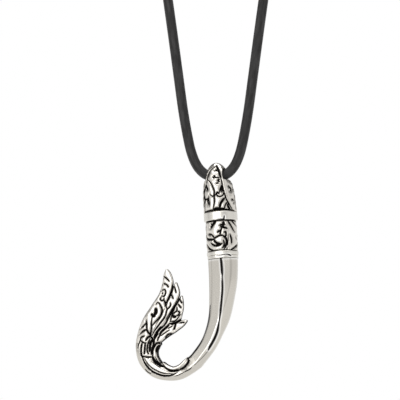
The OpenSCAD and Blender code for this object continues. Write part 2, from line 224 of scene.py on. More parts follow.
# Vegetable-tanned leather, die-rounded and dyed: matt charcoal, with fine fibres that run along
# the cord, small creases across it and paler, faintly worn streaks
dyed_leather, tree, shader = new_material(
    "dyed_leather", Roughness=0.55, Specular_IOR_Level=0.24, Sheen_Weight=0.07, Sheen_Roughness=0.5)
place = add(tree, "ShaderNodeUVMap", uv_map="round_and_along").outputs["UV"]
fibre_mm, crease_mm, patch_mm = 0.35, 0.9, 0.9
lengthwise = 0.16  # the fibres and patches are drawn out along the cord
stretched = add(tree, "ShaderNodeMapping", {"Vector": place, "Scale": (1, lengthwise, 1)}).outputs["Vector"]
fibres = noise(tree, stretched, fibre_mm, 4, 0.6)
creases = add(tree, "ShaderNodeTexVoronoi", {
    "Vector": place, "Scale": 1 / crease_mm, "Randomness": 1}, feature="DISTANCE_TO_EDGE").outputs["Distance"]
patches = noise(tree, stretched, patch_mm, 3)
dye = mixed(tree, mapped(tree, fibres, 0.3, 0.7), "#0c0b0b", "#1f1e1e")
worn = mixed(tree, mapped(tree, patches, 0.42, 0.66, end=0.75), dye, "#333232")
fibre_bump = bumped(tree, fibres, 0.5, 0.08)
leather_bump = bumped(tree, mapped(tree, creases, 0.0, 0.12), 0.25, 0.06, Normal=fibre_bump)
tree.links.new(worn, shader.inputs["Base Color"])
tree.links.new(leather_bump, shader.inputs["Normal"])
cord.data.materials.append(dyed_leather)

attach(cord, "loop")
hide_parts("cord")


# Clasp
# The plain barrel behind the neck: a turned stainless steel tube that the cord's ends are glued
# into. It is out of the photograph, so it has no catch or mark.
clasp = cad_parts["clasp"]
buffed_colour = "#c1bdb5"
# The black of the patina in the carved lines, also painted as shade and dark reflections
patina_and_shade_black = "#12100f"


def noted(tree, name):
    """What is kept under a name at each point of the mesh, and 0 where nothing is kept."""
    return add(tree, "ShaderNodeAttribute", attribute_name=name).outputs["Fac"]


# Stainless steel, turned and buffed: warm light grey, with soft-edged reflections and the faint waves and
# hairlines that a buffing wheel leaves. It is painted black only where the mesh keeps black, as painted shade
# and reflections, and beside those lines it is painted almost white, a painted highlight
def buffed_steel_material(name, colour, wave_mm, hairline_mm, finest, coarsest):
    made, tree, shader = new_material(name, Base_Color=colour, Metallic=1.0)
    place = add(tree, "ShaderNodeTexCoord").outputs["Object"]
    combed = add(tree, "ShaderNodeMapping", {"Vector": place, "Scale": (1, 1, 0.05)}).outputs["Vector"]
    hairlines = noise(tree, combed, hairline_mm * MM, 3, 0.7)
    waves = noise(tree, place, wave_mm * MM, 1)
    # Painted highlight: near the dark lines the steel is painted almost white
    painted_edge_highlight = mixed(tree, noted(tree, "painted_halo"), colour, "#f4f2ee")
    with_painted_dark = mixed(tree, noted(tree, "patina_and_painted_dark"), painted_edge_highlight, patina_and_shade_black)
    tree.links.new(with_painted_dark, shader.inputs["Base Color"])
    tree.links.new(mapped(tree, hairlines, 0.3, 0.7, finest, coarsest), shader.inputs["Roughness"])
    tree.links.new(bumped(tree, waves, 0.3, 0.02), shader.inputs["Normal"])
    return made


buffed_steel = buffed_steel_material(
    "buffed_steel", buffed_colour, wave_mm=4.0, hairline_mm=0.12, finest=0.1, coarsest=0.2)
clasp.data.materials.clear()
clasp.data.materials.append(buffed_steel)


# Bail
# A cast cap shaped like a bullet, with raised rims, and scroll leaves that stand out of a
# blackened ground. Its front and back leaves meet over the cord, which runs through from side
# to side, and its foot is soldered to the upper band.
pendant_tilt, pendant_turn, pendant_lean = (math.radians(a) for a in (3.1, 16, 2.6))
pendant_offset = 0.8
bail_height, bail_diameter, bail_lean = 14.8, 10.1, math.radians(2.3)
arch_thick, cord_gap, mouth_radius, saddle_drop = 2.6, 0.2, 4.5, 1.0
hole_radius = cord_diameter / MM / 2 + cord_gap
seat_z = -(bail_height - arch_thick - hole_radius)
foot_drop = 0.4


def turned(points, axis, angle):
    """Points turned about the x, y or z axis, by the right-hand rule."""
    points = np.array(points, float)
    i, j = {"x": (1, 2), "y": (2, 0), "z": (0, 1)}[axis]
    a, b = points[..., i].copy(), points[..., j].copy()
    points[..., i] = a * math.cos(angle) - b * math.sin(angle)
    points[..., j] = a * math.sin(angle) + b * math.cos(angle)
    return points


def hang(points):
    """Points on the pendant's own upright axis, in mm, put where they hang on the cord, in metres."""
    points = turned(points, "z", -pendant_turn) + (pendant_offset, 0, 0)
    return turned(turned(points, "y", -pendant_tilt), "x", -pendant_lean) * MM + np.array(cord_lowest)


def unhang(points):
    """The other way: from the hanging place, in metres, to the pendant's own axis, in mm."""
    points = turned((points - np.array(cord_lowest)) / MM, "x", pendant_lean)
    return turned(turned(points, "y", pendant_tilt) - (pendant_offset, 0, 0), "z", pendant_turn)


def smooth_rows(rows, steps):
    """Rows of numbers on a smooth curve through the given ones."""
    rows = np.array(rows, float)
    made = []
    for i in range(len(rows) - 1):
        a, b = rows[max(i - 1, 0)], rows[i]
        c, d = rows[i + 1], rows[min(i + 2, len(rows) - 1)]
        for t in np.arange(steps) / steps:
            made.append(0.5 * (2 * b + (c - a) * t + (2 * a - 5 * b + 4 * c - d) * t ** 2
                               + (3 * b - 3 * c + d - a) * t ** 3))
    return np.array(made + [rows[-1]])


def to_nearest_line(points, lines):
    """How far each flat point lies from the edge of the nearest sunk line; less than 0 is inside
    it. A line is its width and its points, and it narrows to a fine tip at both ends."""
    starts, ends, start_half, end_half = [], [], [], []
    for width, line in lines:
        line = smooth_rows(line, 4)
        share = np.linspace(0, 1, len(line))
        half = width / 2 * np.clip(0.35 + 3.2 * np.minimum(share, 1 - share), 0, 1)
        starts.append(line[:-1])
        ends.append(line[1:])
        start_half.append(half[:-1])
        end_half.append(half[1:])
    starts, ends = np.concatenate(starts), np.concatenate(ends)
    start_half, end_half = np.concatenate(start_half), np.concatenate(end_half)
    way = ends - starts
    squared = np.maximum((way ** 2).sum(1), 1e-12)
    nearest = np.empty(len(points))
    for first in range(0, len(points), 4000):
        some = points[first:first + 4000, None] - starts
        share = np.clip((some * way).sum(2) / squared, 0, 1)
        gap = np.linalg.norm(some - share[..., None] * way, axis=2)
        nearest[first:first + 4000] = (gap - start_half - share * (end_half - start_half)).min(1)
    return nearest


def step(low, high, value):
    """0 below the low value and 1 above the high one, with a soft step between."""
    share = np.clip((value - low) / (high - low), 0, 1)
    return share * share * (3 - 2 * share)


def carving(gap, depth, dome, lobe, wall=0.12):
    """How deep the surface lies at a gap from the nearest line, all in mm: at full depth in the
    line, then up a steep wall, then over the round shoulder of a lobe that is domed by dome."""
    shoulder = np.clip(1 - np.maximum(gap, 0) / lobe, 0, 1)
    return dome * (1 - np.sqrt(1 - shoulder ** 2)) + (depth - dome) * (1 - step(-wall, 0.02, gap))


def note(mesh, name, values):
    """Keeps a value for each vertex on the mesh, for the material to read."""
    kept = mesh.attributes.new(name, "FLOAT", "POINT")
    kept.data.foreach_set("value", np.asarray(values, np.float32))


def note_patina_and_painted_light(mesh, gap, extra_black=0.0):
    """Keeps on the mesh where it is painted black: all of it in the lines, none on the lobes, and extra black
    where it is asked for. The black is patina in the lines of the bail, barrel and plume. On the shank, the
    bands and the feathers' walls it is painted shade and reflections, and the walls keep a little patina too.
    It also keeps a halo beside the lines, where the cast steel is painted darker, partly smudged patina and
    partly painted shade, and the buffed steel paler, a painted highlight."""
    note(mesh, "patina_and_painted_dark", np.maximum(1 - step(-0.08, 0.14, gap), extra_black))
    note(mesh, "painted_halo", 1 - step(0.0, 0.55, gap))


def points_of(mesh, what="co"):
    """The places, or the normals, of a mesh's vertices as rows of three."""
    values = np.empty(len(mesh.vertices) * 3, np.float32)
    if what == "co":
        mesh.vertices.foreach_get("co", values)
    else:
        mesh.vertex_normals.foreach_get("vector", values)
    return values.reshape(-1, 3).astype(float)


def set_points(mesh, points):
    """Moves a mesh's vertices to the given places."""
    mesh.vertices.foreach_set("co", np.asarray(points, np.float32).ravel())
    mesh.update()


def cast_solid(name, parts, cuts, voxel, softness):
    """One closed casting of even small faces: parts fused, cuts taken out, and edges left soft."""
    base = parts[0]
    for other in parts[1:]:
        joined = bmesh.new()
        joined.from_mesh(base.data)
        joined.from_mesh(other.data)
        joined.to_mesh(base.data)
        joined.free()
        bpy.data.objects.remove(other)
    for cut in cuts:
        away = base.modifiers.new("cut", "BOOLEAN")
        away.operation, away.object, away.solver = "DIFFERENCE", cut, "EXACT"
    even = base.modifiers.new("even", "REMESH")
    even.mode, even.voxel_size, even.use_smooth_shade = "VOXEL", voxel, True
    soft = base.modifiers.new("soft", "SMOOTH")
    soft.factor, soft.iterations = 0.5, softness
    bpy.context.view_layer.update()
    seen = base.evaluated_get(bpy.context.evaluated_depsgraph_get())
    mesh = bpy.data.meshes.new_from_object(seen)
    mesh.name = name
    for used in [base, *cuts]:
        bpy.data.objects.remove(used)
    return new_object(name, mesh)


def bail_radius(share):
    """The bullet's radius at a share of its height."""
    return bail_diameter / 2 * np.sqrt(np.clip(1 - np.clip(share, 0, 1) ** 2.5, 0, 1))


def ring_of(radius, sides):
    """A level ring of points round the z axis."""
    turn = 2 * math.pi * np.arange(sides) / sides
    return np.stack([radius * np.cos(turn), radius * np.sin(turn), 0 * turn], -1)


# The bullet, leaned and cut level at its foot, and the way through it for the cord
foot_share = -foot_drop / bail_height
shares = np.concatenate([[foot_share], np.linspace(0, 0.9, 40), 1 - np.geomspace(0.09, 0.0006, 16)])
bullet = []
for share in shares:
    level = turned(ring_of(bail_radius(share), 96) + (0, 0, share * bail_height), "y", -bail_lean)
    if share == foot_share:
        level[:, 2] = -foot_drop
    bullet.append(level + (0, 0, seat_z))
bullet = skin("bullet", (hang(np.array(bullet)) - np.array(cord_lowest)) / MM)

reach = 12
bore_turn = 2 * math.pi * np.arange(48) / 48
bore = skin("bore", [np.stack([x + 0 * bore_turn, hole_radius * np.cos(bore_turn),
                               hole_radius * np.sin(bore_turn)], -1) for x in (-reach, reach)])
mouth_rings = []
flare = np.radians(np.linspace(-84, 84, 33))
flare_x = np.concatenate([[-reach], mouth_radius * np.sin(flare), [reach]])
flare_r = hole_radius + mouth_radius * (1 - np.cos(np.concatenate([flare[:1], flare, flare[-1:]])))
for x, radius in zip(flare_x, flare_r):
    height = np.maximum(radius * np.sin(bore_turn), -saddle_drop)
    mouth_rings.append(np.stack([x + 0 * bore_turn, radius * np.cos(bore_turn), height], -1))
mouth = skin("mouth", turned(mouth_rings, "z", -pendant_turn))
bail = cast_solid("cast_bail", [bullet], [bore, mouth], voxel=0.1, softness=5)

# Sunk lines of the bail: width in mm, then degrees round from the side that faces the viewer and
# percent of the height. The same leaves are on the back.
bail_lines = [
    # Left border, with the notches between the left leaves
    (0.5, [(-46, 84), (-51, 77), (-52, 70), (-53, 65), (-57, 59), (-60, 50)]),
    (0.8, [(-59, 55), (-52, 49), (-45, 44)]),
    (0.75, [(-60, 54), (-63, 46), (-67, 36), (-63, 24), (-67, 17), (-71, -2)]),
    (0.4, [(-65, 24), (-53, 25), (-42, 23)]),
    (0.5, [(-41, 30), (-43, 23), (-41, 17), (-41, 11)]),
    (0.46, [(-48, 27), (-49, 20), (-46, 13)]),
    # Right border, thick below the crown, and the outer edge of the right rim
    (0.62, [(3, 94), (9, 86), (13, 79), (14, 71), (15, 64)]),
    (0.4, [(15, 66), (17, 57), (17, 48), (19, 38), (23, 27), (27, 18), (38, 7), (51, -5)]),
    # The line at the foot, with teeth
    (0.75, [(-78, 0), (-45, -1), (-26, -1), (-4, -1), (20, -2), (54, -3)]),
    (0.5, [(-25, 3), (-9, 3), (0, 1), (13, 2)]),
    # The long S between the left leaves and the middle
    (0.38, [(-51, 66), (-35, 59), (-25, 51), (-19, 43), (-17, 37), (-19, 29), (-19, 20), (-21, 13),
            (-27, 3)]),
    # Creases and a hollow in the crown
    (0.22, [(-60, 87), (-47, 90), (-28, 92)]),
    (0.2, [(-43, 86), (-28, 88), (-9, 91), (-2, 92)]),
    (0.26, [(-16, 81), (-5, 81.5), (7, 80)]),
    (0.24, [(-6, 85), (0, 83.5), (7, 83.5)]),
    # Marks in the upper leaf
    (0.5, [(-15, 72), (-13, 69), (-7, 66)]),
    (0.4, [(-22, 69), (-16, 66)]),
    (0.34, [(-4, 66), (2, 66), (8, 66)]),
    (0.5, [(8, 63), (2, 60), (7, 57)]),
    (0.42, [(1, 55), (-6, 54)]),
    # Hollow beside the right border
    (0.5, [(15, 50), (8, 43), (3, 35)]),
    (0.5, [(15, 45), (13, 40), (11, 35)]),
    (0.4, [(17, 46), (18, 41), (20, 36)]),
    # The band across the middle, with a hooked end
    (0.36, [(-36, 34), (-28, 29), (-19, 29), (-11, 31), (-4, 27), (4, 26), (12, 28), (17, 31), (15, 34)]),
    (0.5, [(-12, 32), (-5, 35), (0, 32)]),
    # Thick lines between the lower leaves
    (0.66, [(20, 23), (9, 17), (1, 10), (-3, 0)]),
    (0.4, [(27, 14), (19, 8), (14, 0)]),
    (0.7, [(29, 10), (30, 5), (38, -2)]),
    # Short scrolls beside the right rim
    (0.36, [(46, 64), (54, 62), (60, 55)]),
    (0.5, [(43, 48), (49, 45), (57, 42), (46, 37)]),
    (0.4, [(48, 20), (59, 19), (56, 14)]),
    # A fern leaf down each side, under the mouth
    (0.4, [(66, 66), (71, 50), (72, 30), (70, 2)]),
    (0.4, [(114, 66), (109, 50), (108, 30), (110, 2)]),
    (0.35, [(90, 62), (90, 2)]),
    *[(0.4, [(90, foot), (90 + side * 8, foot + 6), (90 + side * 14, foot + 14)])
      for foot in (6, 19, 32, 45) for side in (-1, 1)],
]
own = unhang(points_of(bail.data) * MM + np.array(cord_lowest)) - (0, 0, seat_z)
own = turned(own, "y", bail_lean)
share = own[:, 2] / bail_height
radius = np.hypot(own[:, 0], own[:, 1])
facing = np.degrees(np.arctan2(own[:, 0], -own[:, 1])) - math.degrees(pendant_turn)
facing = (facing + 180) % 360 - 180


def unrolled(degrees, percent):
    """A place on the bail laid flat, in mm: round it at that height, and up."""
    local = np.maximum(bail_radius(np.asarray(percent) / 100), 0.6)
    return np.stack([np.radians(degrees) * local, np.asarray(percent) / 100 * bail_height], -1)


# The sunk lines are a little wider than charted, and a gap of no_line is out of every line's reach
line_spread, no_line = 0.03, 9.0
bail_gap = np.full(len(own), no_line)
for side in (0, 180, -180, 360, -360):
    lines = [(width, unrolled(*(np.array(line, float) + (side, 0)).T)) for width, line in bail_lines]
    bail_gap = np.minimum(bail_gap, to_nearest_line(unrolled(facing, share * 100), lines))
outside = 1 - step(0.12, 0.35, bail_radius(share) - radius)
outside = np.where((share < 0.04) & (radius > bail_diameter / 2 - 0.8), 1.0, outside)
outside *= 1 - step(0.95, 0.985, share)
bail_gap = np.where(outside > 0.02, bail_gap - line_spread, no_line)
sunk = carving(bail_gap, depth=0.5, dome=0.28, lobe=1.0) * outside
inward = -points_of(bail.data, "normals")
set_points(bail.data, (points_of(bail.data) + inward * sunk[:, None]) * MM + np.array(cord_lowest))
note_patina_and_painted_light(bail.data, np.where(outside > 0.5, bail_gap, no_line))
smooth_shading(bail, 180)

# Cast stainless steel, blackened all over and buffed back on the lobes: they shine almost white,
# with soft pitted gloss, and the sunk ground keeps a dead black with smudged edges. Beside the lines the
# lobes are painted a darker grey, partly smudged blackening and partly painted shade. Where it is
# ground plain, it is as smooth and grey as the shank.
antiqued_steel, tree, shader = new_material("antiqued_steel", Metallic=1.0)
place = add(tree, "ShaderNodeTexCoord").outputs["Object"]
smudge_mm, pit_mm, wave_mm = 0.6, 0.25, 1.6
plain = noted(tree, "plain")
as_cast = reckoned(tree, "SUBTRACT", 1.0, plain)
smudges = noise(tree, place, smudge_mm * MM, 3, 0.6)
ragged = reckoned(tree, "MULTIPLY_ADD", reckoned(tree, "SUBTRACT", smudges, 0.5), 0.7, noted(tree, "patina_and_painted_dark"))
black = mapped(tree, ragged, 0.35, 0.75)
# Painted shade mixed with smudged blackening: beside the lines the lobes are painted a darker grey
smudge_and_painted_shade = mapped(tree, reckoned(tree, "MULTIPLY", noted(tree, "painted_halo"), smudges), 0.1, 0.7)
metal = mixed(tree, smudge_and_painted_shade, "#d3cfc8", "#98948d")
metal = mixed(tree, plain, metal, buffed_colour)
sheen = reckoned(tree, "MULTIPLY_ADD", plain, -0.08, mapped(tree, black, 0.0, 1.0, 0.24, 0.7))
waves = reckoned(tree, "MULTIPLY", noise(tree, place, wave_mm * MM, 1), as_cast)
pits = reckoned(tree, "MULTIPLY", noise(tree, place, pit_mm * MM, 2), as_cast)
cast_bump = bumped(tree, pits, 0.25, 0.03, Normal=bumped(tree, waves, 0.6, 0.16))
tree.links.new(mixed(tree, black, metal, patina_and_shade_black), shader.inputs["Base Color"])
tree.links.new(sheen, shader.inputs["Roughness"])
tree.links.new(cast_bump, shader.inputs["Normal"])
bail.data.materials.append(antiqued_steel)
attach(bail, "pendant")
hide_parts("bail")


# Upper band
# A plain ring of bright stainless steel, turned and soldered between the bail and the barrel.
# Its edges are broken with a small round, and it is buffed brighter than the hook.
upper_band_height, band_round = 3.0, 0.28
barrel_top = seat_z - upper_band_height


def turned_ring(name, profile, sides=400, row_height=0.1):
    """A round piece on the pendant's axis from its profile: radius and height, foot to top."""
    rows = [profile[0]]
    for a, b in zip(profile[:-1], profile[1:]):
        count = max(1, round(math.dist(a, b) / row_height))
        for k in range(1, count + 1):
            rows.append((a[0] + (b[0] - a[0]) * k / count, a[1] + (b[1] - a[1]) * k / count))
    return skin(name, [ring_of(radius, sides) + (0, 0, height) for radius, height in rows])


def rounded_wall(radius, foot, top, edge):
    """The profile of a plain ring whose two edges are rounded."""
    turn = np.radians(np.linspace(0, 90, 6))
    low = [(radius - edge + edge * math.sin(a), foot + edge - edge * math.cos(a)) for a in turn]
    high = [(radius - edge + edge * math.cos(a), top - edge + edge * math.sin(a)) for a in turn]
    return low + high


def fold_in(ring, lines, depth):
    """Presses the lines into a turned ring, paints them black as painted shade with a painted highlight
    beside them, and hangs it: width in mm, then degrees round from the viewer's side and height in mm."""
    own = points_of(ring.data)
    radius = np.hypot(own[:, 0], own[:, 1])
    facing = np.arctan2(own[:, 0], -own[:, 1]) - pendant_turn
    flat = np.stack([facing * radius, own[:, 2]], -1)
    scale = (math.radians(1) * radius.max(), 1)
    gap = to_nearest_line(flat, [(width, np.array(line, float) * scale) for width, line in lines])
    own[:, :2] *= 1 - (depth * (1 - step(-0.1, 0.15, gap)) / radius)[:, None]
    set_points(ring.data, hang(own))
    note_patina_and_painted_light(ring.data, gap)


# The same stainless steel, left from a softer wheel: paler, and with its reflections blurred
bright_steel = buffed_steel_material(
    "bright_steel", "#d2cfc8", wave_mm=2.2, hairline_mm=0.1, finest=0.22, coarsest=0.32)
band_wall = rounded_wall(bail_diameter / 2, barrel_top, seat_z - foot_drop, band_round)
upper_band = turned_ring("turned_upper_band", band_wall)
fold_in(upper_band, [
    (0.24, [(-16, barrel_top + 0.2), (-2, barrel_top + 0.15), (6, barrel_top + 0.15),
            (11, barrel_top + 0.35)]),
    (0.5, [(8, barrel_top + 0.1), (10.5, barrel_top + 0.35), (12, barrel_top + 1.15)]),
], depth=0.1)
smooth_shading(upper_band, 60)
upper_band.data.materials.append(bright_steel)
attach(upper_band, "pendant")
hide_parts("upper_band")


# Barrel
# A cast drum with one big scroll and its leaves raised out of a blackened ground, the same on
# the front and the back. It is soldered between the two bands.
barrel_height, barrel_diameter = 9.2, 9.6
barrel_radius = barrel_diameter / 2
barrel_foot = barrel_top - barrel_height

# Sunk lines of the barrel: width in mm, then percent of the half width to the right of the
# middle, as the viewer sees it, and percent of the height
barrel_lines = [
    # Borders under the upper band and over the lower one
    (0.45, [(-99, 98), (-79, 98), (-53, 98), (-22, 99), (21, 99), (64, 98), (97, 97)]),
    (0.45, [(-99, -1), (-64, 0), (-32, 0), (5, 0), (53, -1), (95, -1)]),
    # Left leaf and the lines round it
    (0.4, [(-98, 98), (-98, 80), (-98, 58), (-95, 44)]),
    (0.7, [(-36, 96), (-51, 89), (-63, 81), (-71, 77)]),
    (0.25, [(-66, 96), (-69, 89), (-56, 87)]),
    (0.45, [(-85, 58), (-69, 54), (-58, 48), (-52, 42)]),
    (0.5, [(-97, 46), (-89, 41), (-74, 39), (-55, 38)]),
    (0.5, [(-97, 24), (-88, 12), (-72, 4), (-58, 0)]),
    # The big scroll
    (0.42, [(-55, 40), (-33, 46), (-10, 49), (8, 48)]),
    (0.64, [(4, 48), (21, 42), (29, 32), (25, 18), (11, 5)]),
    (0.56, [(-76, 28), (-61, 20), (-42, 17), (-22, 18), (-1, 23)]),
    (0.66, [(-54, 38), (-48, 30), (-33, 24), (-13, 22)]),
    (0.4, [(8, 34), (12, 23), (8, 14), (-3, 7)]),
    # The leaf above it
    (0.85, [(14, 92), (15, 86), (6, 80)]),
    (0.4, [(-14, 81), (2, 84), (26, 83)]),
    (0.58, [(-6, 77), (13, 75), (38, 71)]),
    (0.42, [(1, 73), (-8, 62), (-13, 50)]),
    (0.5, [(-29, 59), (-21, 63), (-10, 64)]),
    (0.5, [(15, 59), (27, 59), (27, 50), (22, 42)]),
    # Long leaves on the right
    (0.5, [(44, 96), (60, 84), (71, 72), (82, 63)]),
    (0.4, [(70, 96), (85, 89), (94, 82)]),
    (0.6, [(53, 52), (59, 42), (62, 33), (60, 23)]),
    (0.45, [(96, 20), (84, 12), (68, 5), (53, 0)]),
    (0.3, [(89, 46), (90, 39)]),
    (0.28, [(31, 8), (29, 4)]),
    (0.2, [(42, 52), (41, 36), (36, 16)]),
]
# The plait down each side, in degrees round and percent of the height
barrel_side_lines = [
    (0.4, [(82, -4), (98, 23), (82, 50), (98, 77), (82, 104)]),
    (0.4, [(98, -4), (82, 23), (98, 50), (82, 77), (98, 104)]),
]
barrel_columns, barrel_rows = 300, 96
facing = np.linspace(-180, 180, barrel_columns, endpoint=False)
height = np.linspace(0, barrel_height, barrel_rows)
facing_grid, height_grid = np.meshgrid(facing, height)
flat = np.stack([np.radians(facing_grid) * barrel_radius, height_grid], -1).reshape(-1, 2)
barrel_gap = np.full(len(flat), no_line)
for side in (0, 180, -180, -360):
    lines = []
    for width, line in barrel_lines:
        across, up = np.array(line, float).T / 100
        laid = np.stack([(np.arcsin(across) + math.radians(side)) * barrel_radius, up * barrel_height], -1)
        lines.append((width, laid))
    for width, line in barrel_side_lines:
        round_it, up = (np.array(line, float) + (side, 0)).T
        lines.append((width, np.stack([np.radians(round_it) * barrel_radius, up / 100 * barrel_height], -1)))
    barrel_gap = np.minimum(barrel_gap, to_nearest_line(flat, lines))
barrel_gap -= line_spread
sunk = carving(barrel_gap, depth=0.5, dome=0.3, lobe=1.1).reshape(facing_grid.shape)
swell = 0.12 * (np.abs(height_grid / barrel_height - 0.5) * 2) ** 3
radius = barrel_radius - sunk - swell
angle = np.radians(facing_grid) + pendant_turn
barrel_points = np.stack([radius * np.sin(angle), -radius * np.cos(angle), height_grid + barrel_foot], -1)
barrel = skin("cast_barrel", hang(barrel_points))
note_patina_and_painted_light(barrel.data, barrel_gap)
smooth_shading(barrel, 60)
barrel.data.materials.append(antiqued_steel)
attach(barrel, "pendant")
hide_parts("barrel")


# Lower band
# The turned ring that the barrel stands on: a bright round ring on a slightly narrower step,
# soldered on top of the hook's shank.
lower_band_height, lower_band_diameter, step_share = 2.1, 9.5, 0.4
hook_top = barrel_foot - lower_band_height
step_top = hook_top + lower_band_height * step_share
lower_band = turned_ring("turned_lower_band", [
    *rounded_wall(lower_band_diameter / 2 - 0.15, hook_top, step_top, 0.12),
    *rounded_wall(lower_band_diameter / 2, step_top, barrel_foot, 0.3),
])
fold_in(lower_band, [
    (0.18, [(-26, barrel_foot - 1.5), (-7, barrel_foot - 1.45), (13, barrel_foot - 1.15),
            (20, barrel_foot - 1.3)]),
    (0.42, [(17, barrel_foot - 1.25), (24, barrel_foot - 1.45), (31, barrel_foot - 1.7)]),
], depth=0.08)
smooth_shading(lower_band, 60)
lower_band.data.materials.append(bright_steel)
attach(lower_band, "pendant")
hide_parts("lower_band")


# Shank
# The plain upper part of the hook, cast in one with its carved end and ground to crisp facets:
# a ridge down the front, a flat on each side of it, and a bevel outside each flat.
hook_length, hook_span, arm_rise = 35.7, 28.7, 0.8
shank_width, shank_depth = 8.9, 6.4

# Sections along the hook: percent of the span to the left and of the length down, the section's
# turn in degrees, percent of the shank's width and depth, and the ridge's place across
hook_rows = [
    (0, 0, 0, 100, 100, 50), (1, 17.5, 2, 95, 97, 54), (3.7, 33.5, 7, 84, 90, 58),
    (7.5, 48.5, 14, 72, 82, 61), (13.7, 60.6, 25, 60, 75, 63), (21, 71.3, 35, 55.5, 70, 64),
    (32, 81.8, 46, 53.5, 66, 65), (37.6, 86, 52, 54, 65, 66), (53, 93.6, 75, 45, 60, 66),
    (66.7, 93.6, 102, 49, 56, 64), (78, 89.6, 130, 60.5, 52, 62), (86.3, 81.2, 153, 70, 48, 60),
    (87.5, 71.4, 177, 79, 44, 58), (86, 62, 188, 76, 40, 56), (80.8, 51, 208, 70, 36, 54),
    (72.5, 39.5, 210, 58, 32, 52), (65.2, 28.5, 205, 44, 28, 50), (61, 18, 190, 40, 25, 50),
    (61, 10.5, 180, 28, 22, 50), (61.6, 6.2, 172, 8, 16, 50),
]
seam_row = 7


def hook_place(left, down):
    """A place on the pendant, x and z in mm, from percent of the hook's span and length."""
    return np.stack([-hook_span * np.asarray(left) / 100,
                     hook_top - hook_length * np.asarray(down) / 100 + arm_rise * np.asarray(left) / 100], -1)


def rounded_corners(corners, cut):
    """A closed outline with each corner replaced by a small round, and a point on each side of it
    that keeps the flats flat in the shading."""
    made = []
    for before, corner, after in zip(np.roll(corners, 1, 0), corners, np.roll(corners, -1, 0)):
        back, on = before - corner, after - corner
        back_length, on_length = np.linalg.norm(back), np.linalg.norm(on)
        short = min(cut, back_length / 3, on_length / 3)
        start, end = corner + back / back_length * short, corner + on / on_length * short
        made.append(corner + back / back_length * short * 1.25)
        for t in (0, 0.25, 0.5, 0.75, 1):
            made.append(start * (1 - t) ** 2 + 2 * corner * t * (1 - t) + end * t ** 2)
        made.append(corner + on / on_length * short * 1.25)
    return np.array(made)


def hook_ring(row, edge_cut):
    """The hook's faceted section at a row, as points in mm on the pendant's own axis."""
    left, down, lean, width, depth, ridge = row
    half = np.array([(-0.5, 0.14), (-0.34, 0.37), (ridge / 100 - 0.5, 0.5), (0.33, 0.37), (0.5, 0.14)])
    half *= (shank_width * width / 100, shank_depth * depth / 100)
    outline = rounded_corners(np.concatenate([half * (1, -1), half[::-1]]), edge_cut)
    x, z = hook_place(left, down)
    lean = math.radians(lean)
    return np.stack([x + math.cos(lean) * outline[:, 0], outline[:, 1],
                     z - math.sin(lean) * outline[:, 0]], -1)


shank_steps, edge_cut, across_steps = 14, 0.28, 12
hook_line = smooth_rows(hook_rows, shank_steps)
shank_rings = np.array([hook_ring(row, edge_cut) for row in hook_line[:seam_row * shank_steps + 1]])
between = np.arange(across_steps)[:, None] / across_steps
fine_rings = []
for ring in shank_rings:
    fine = []
    for a, b in zip(ring, np.roll(ring, -1, 0)):
        fine.append(a + (b - a) * (between if np.linalg.norm(b - a) > 4 * edge_cut / 5 else between[:1]))
    fine_rings.append(np.concatenate(fine))
shank = skin("ground_shank", np.array(fine_rings)[:, ::-1])

# A line is sunk beside the ridge, front and back, and painted black, a painted reflection: width in mm, then
# percent left and down
shank_lines = [
    (0.74, [(-0.4, 0), (-0.9, 3), (-1, 8), (-1, 15.5)]),
    (0.52, [(-1, 13), (-0.6, 20), (0, 27), (1.4, 34.5), (3.4, 44), (5.6, 52.4)]),
    (0.5, [(5.2, 51), (8, 59.5), (11, 65), (14.3, 69.5), (17.3, 73), (19.6, 76)]),
]
# Painted reflection: a film of black is painted where the inner edge turns towards the throat
inner_edge = [
    (0.6, [(15.1, 38.5), (16.3, 45), (17.8, 51), (20.7, 57.6), (24.2, 63.4), (28.3, 69.5), (32.3, 74.2),
           (37.5, 78.5), (41.6, 81.8)]),
]
# A thinner film of black is painted in fine lines under the ridge and on the bevels, as painted reflections,
# and in grey streaks at the seam, just outside the thick tip of the crescent leaf
ridge_line = [
    (0.16, [(17.5, 74.5), (21.5, 78), (26.5, 82), (34.5, 87.5), (38.5, 90)]),
]
bevel_lines = [
    (0.14, [(15.2, 4), (15.1, 15), (15, 27), (15.1, 39)]),
    (0.12, [(-11, 1.5), (-10.5, 9), (-9, 18), (-6, 27.5), (-2, 37.5), (2, 45.5)]),
]
tip_streaks = [
    (1.1, [(38.3, 81.6), (38.3, 85), (40.2, 87.9), (44, 90.6), (49, 92.6)]),
]
# How dark each line is, its lines, and how soft its edge is inward and outward, in mm
thin_dark_lines = [(0.75, ridge_line, 0.08, 0.12), (0.22, bevel_lines, 0.05, 0.2), (0.3, tip_streaks, 0.1, 0.3)]
groove_depth, black_spread, under_band_shade_height = 0.1, 0.09, 0.16


def line_gap(points, lines):
    """How far each point lies, front or back, from the nearest line of the hook's own chart."""
    placed = [(width, hook_place(*np.array(line, float).T)) for width, line in lines]
    return to_nearest_line(points[:, [0, 2]], placed)


own = points_of(shank.data)
normals = points_of(shank.data, "normals")
shank_gap = line_gap(own, shank_lines)
flatness = step(0.35, 0.6, np.abs(normals[:, 1]))
sunk = groove_depth * (1 - step(-0.22, -0.04, shank_gap)) * flatness
set_points(shank.data, hang(own - normals * sunk[:, None]))
